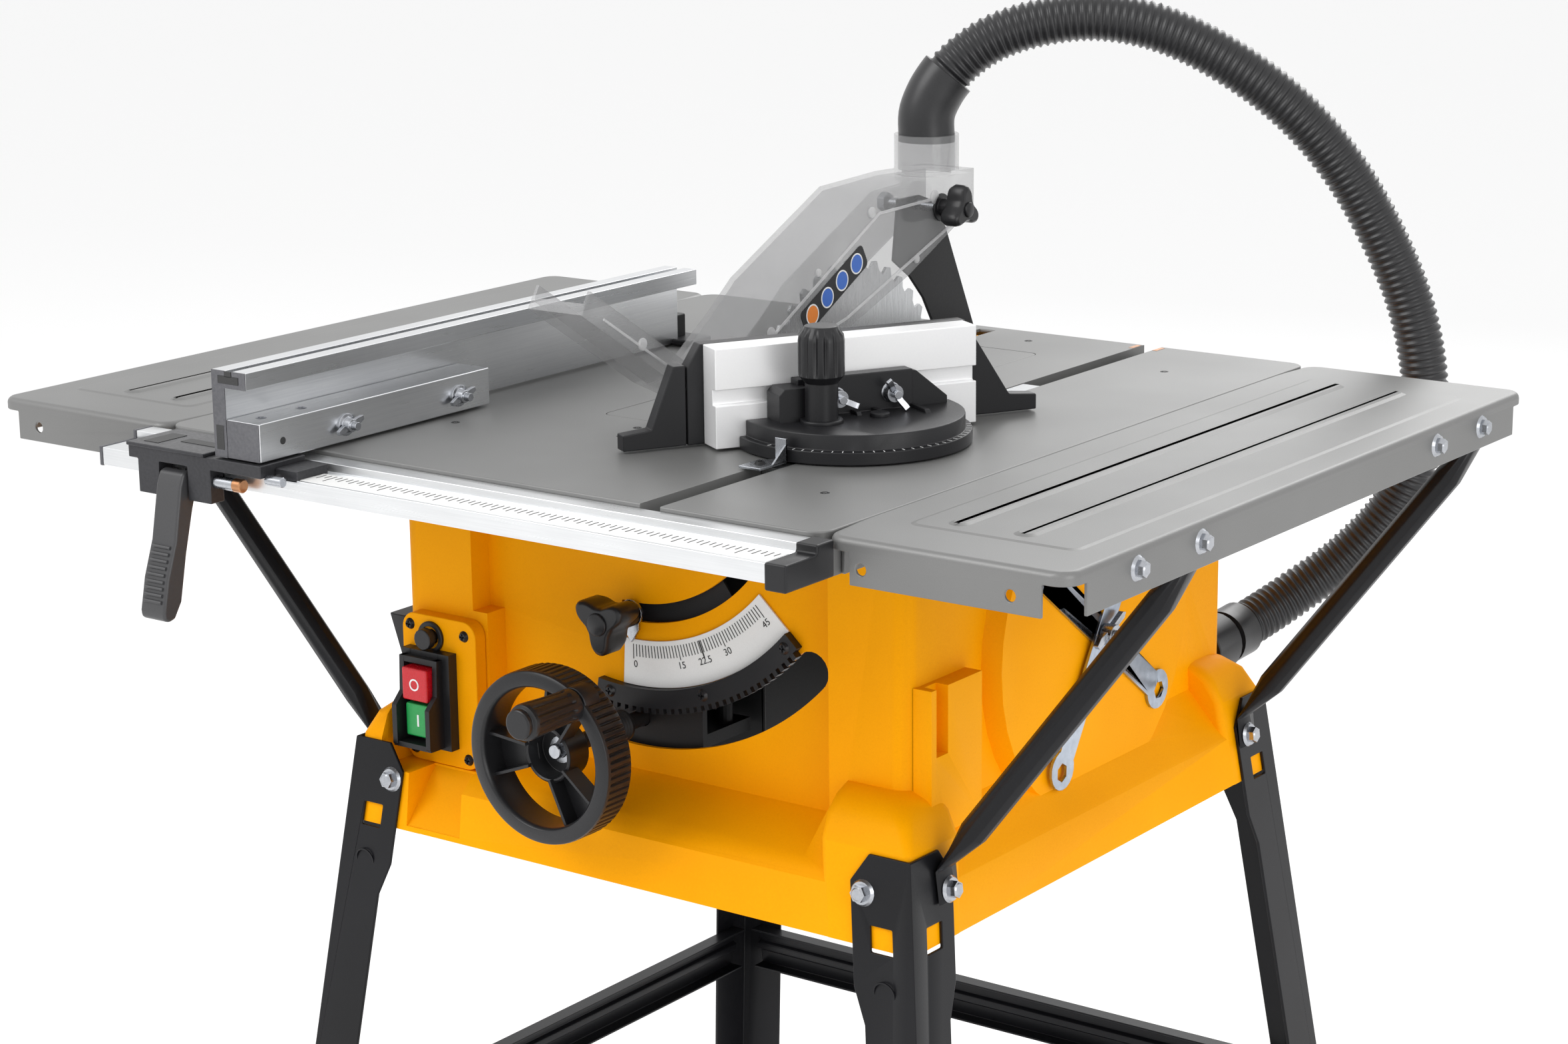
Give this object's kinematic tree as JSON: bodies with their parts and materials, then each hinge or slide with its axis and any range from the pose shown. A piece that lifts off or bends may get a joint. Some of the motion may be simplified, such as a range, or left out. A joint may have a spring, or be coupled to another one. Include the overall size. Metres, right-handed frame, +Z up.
{
  "type": "table saw",
  "caption": "Table saw on a four-leg stand: sheet-metal table with side extensions, tilting and rising blade, clear guard with dust hose, rip fence and mitre gauge",
  "frame": {"origin": "centre of the footprint on the floor, at the bottom of the rubber feet", "axes": "+Z up; +X to the operator's right along the table's front edge; +Y from the operator's side to the back"},
  "size_m": [0.94, 0.8784, 1.1382],
  "materials": {
    "yellow_housing": "moulded amber yellow, fine grain",
    "table_sheet": "satin grey paint",
    "stand_steel": "black satin paint",
    "rubber_feet": "black rubber",
    "aluminium": "extruded, lightly brushed",
    "black_plastic": "black moulded plastic",
    "zinc": "zinc plated",
    "machine_steel": "plain steel",
    "black_steel": "matt black",
    "scale_white": "white plate with black graduations",
    "red_button": "red",
    "green_button": "green",
    "clear_guard": "smoky clear plastic",
    "hose_rubber": "black ribbed hose"
  },
  "bodies": {
    "root": {"table_top": "table_sheet", "extension_right": "table_sheet", "extension_left": "table_sheet", "table_insert": "table_sheet", "housing": "yellow_housing", "dust_port": "black_plastic", "switch_plate": "yellow_housing", "switch_frame": "black_plastic", "tilt_scale": "scale_white", "tilt_rack": "black_steel", "spanner_large": "zinc", "spanner_small": "zinc", "spanner_stud": "zinc", "leg_front_right": "stand_steel", "foot_front_right": "rubber_feet", "brace_front_right": "stand_steel", "leg_front_left": "stand_steel", "foot_front_left": "rubber_feet", "brace_front_left": "stand_steel", "leg_rear_right": "stand_steel", "foot_rear_right": "rubber_feet", "brace_rear_right": "stand_steel", "leg_rear_left": "stand_steel", "foot_rear_left": "rubber_feet", "brace_rear_left": "stand_steel", "crossbar_front": "stand_steel", "crossbar_rear": "stand_steel", "crossbar_left": "stand_steel", "crossbar_right": "stand_steel", "fence_rail": "aluminium", "rail_cap": "black_plastic", "hose_lower": "hose_rubber"},
    "tilt_unit": {"trunnion": "machine_steel", "tilt_pointer": "zinc", "hose_upper": "hose_rubber"},
    "tilt_lock": {"tilt_lock_knob": "black_plastic"},
    "crank": {"crank_shaft": "machine_steel", "handwheel": "black_plastic"},
    "crank_grip": {"crank_handle": "black_plastic"},
    "screw": {"lift_screw": "machine_steel"},
    "carriage": {"lift_carriage": "machine_steel", "motor": "black_steel", "riving_knife": "black_steel"},
    "blade": {"saw_blade": "machine_steel", "arbor": "machine_steel"},
    "guard_pivot": {"guard_bolt": "zinc", "guard_knob": "black_plastic"},
    "guard": {"blade_guard": "clear_guard"},
    "stop": {"stop_button": "red_button"},
    "start": {"start_button": "green_button"},
    "reset": {"reset_button": "black_plastic"},
    "rip_fence": {"fence_carriage": "aluminium", "fence_profile": "aluminium"},
    "fence_clamp": {"fence_lever": "black_plastic"},
    "fence_side": {"fence_face": "aluminium"},
    "mitre_slider": {"mitre_bar": "machine_steel"},
    "mitre_gauge": {"mitre_head": "black_plastic"},
    "mitre_lock": {"mitre_knob": "black_plastic"},
    "mitre_face": {"mitre_fence": "aluminium", "mitre_backing": "black_plastic"}
  },
  "joints": [
    {"name": "blade_tilt", "type": "hinge", "parent": "root", "child": "tilt_unit", "pos_m": [0.005, -0.0475, 0.86], "axis": [0, -1, 0], "range_deg": [0, 45], "deforming": ["hose_lower"]},
    {"name": "blade_height", "type": "slide", "parent": "tilt_unit", "child": "carriage", "axis": [0, 0, 1], "range_m": [-0.085, 0]},
    {"name": "crank_turn", "type": "hinge", "parent": "tilt_unit", "child": "crank", "pos_m": [0.005, -0.0475, 0.647], "axis": [0, 1, 0], "range_deg": [-5113, 0]},
    {"name": "crank_handle_spin", "type": "hinge", "parent": "crank", "child": "crank_grip", "pos_m": [0.03597, -0.2685, 0.69123], "axis": [0, 1, 0], "continuous": true},
    {"name": "screw_turn", "type": "hinge", "parent": "tilt_unit", "child": "screw", "pos_m": [0.005, -0.0435, 0.7], "axis": [0, 0, 1], "range_deg": [-5113, 0]},
    {"name": "blade_spin", "type": "hinge", "parent": "carriage", "child": "blade", "pos_m": [0.005, 0.1435, 0.82], "axis": [1, 0, 0], "continuous": true},
    {"name": "guard_drop", "type": "hinge", "parent": "carriage", "child": "guard_pivot", "pos_m": [0.005, 0.2355, 0.976], "axis": [-1, 0, 0], "range_deg": [0, 30.1]},
    {"name": "guard_lift", "type": "hinge", "parent": "guard_pivot", "child": "guard", "pos_m": [0.005, 0.2355, 0.976], "axis": [-1, 0, 0], "range_deg": [0, 30], "deforming": ["hose_upper"]},
    {"name": "tilt_lock_turn", "type": "hinge", "parent": "tilt_unit", "child": "tilt_lock", "pos_m": [0.005, -0.1385, 0.728], "axis": [0, -1, 0], "range_deg": [0, 120]},
    {"name": "stop_press", "type": "slide", "parent": "root", "child": "stop", "axis": [0, 1, 0], "range_m": [0, 0.004], "stiffness_N_per_m": 500},
    {"name": "start_press", "type": "slide", "parent": "root", "child": "start", "axis": [0, 1, 0], "range_m": [0, 0.004], "stiffness_N_per_m": 500},
    {"name": "reset_press", "type": "slide", "parent": "root", "child": "reset", "axis": [0, 1, 0], "range_m": [0, 0.003], "stiffness_N_per_m": 500},
    {"name": "fence_travel", "type": "slide", "parent": "root", "child": "rip_fence", "axis": [1, 0, 0], "range_m": [-0.04, 0.045]},
    {"name": "fence_clamp_turn", "type": "hinge", "parent": "rip_fence", "child": "fence_clamp", "pos_m": [-0.218, -0.346, 0.842], "axis": [-1, 0, 0], "range_deg": [0, 60]},
    {"name": "fence_side_travel", "type": "slide", "parent": "rip_fence", "child": "fence_side", "axis": [0, 1, 0], "range_m": [0, 0.2]},
    {"name": "mitre_travel", "type": "slide", "parent": "root", "child": "mitre_slider", "axis": [0, 1, 0], "range_m": [-0.125, 0.18]},
    {"name": "mitre_turn", "type": "hinge", "parent": "mitre_slider", "child": "mitre_gauge", "pos_m": [0.15375, -0.0605, 0.865], "axis": [0, 0, 1], "range_deg": [-120, 0]},
    {"name": "mitre_lock_turn", "type": "hinge", "parent": "mitre_gauge", "child": "mitre_lock", "pos_m": [0.1558, -0.10094, 0.9], "axis": [0, 0, 1], "range_deg": [0, 180]},
    {"name": "mitre_face_travel", "type": "slide", "parent": "mitre_gauge", "child": "mitre_face", "axis": [0.5, 0.866, 0], "range_m": [0, 0.05]}
  ],
  "couplings": [
    {"joint": "crank_turn", "follows": "blade_height", "rad_per_m": 1049.7},
    {"joint": "screw_turn", "follows": "blade_height", "rad_per_m": 1049.7},
    {"joint": "guard_drop", "follows": "blade_height", "rad_per_m": -6.16}
  ]
}
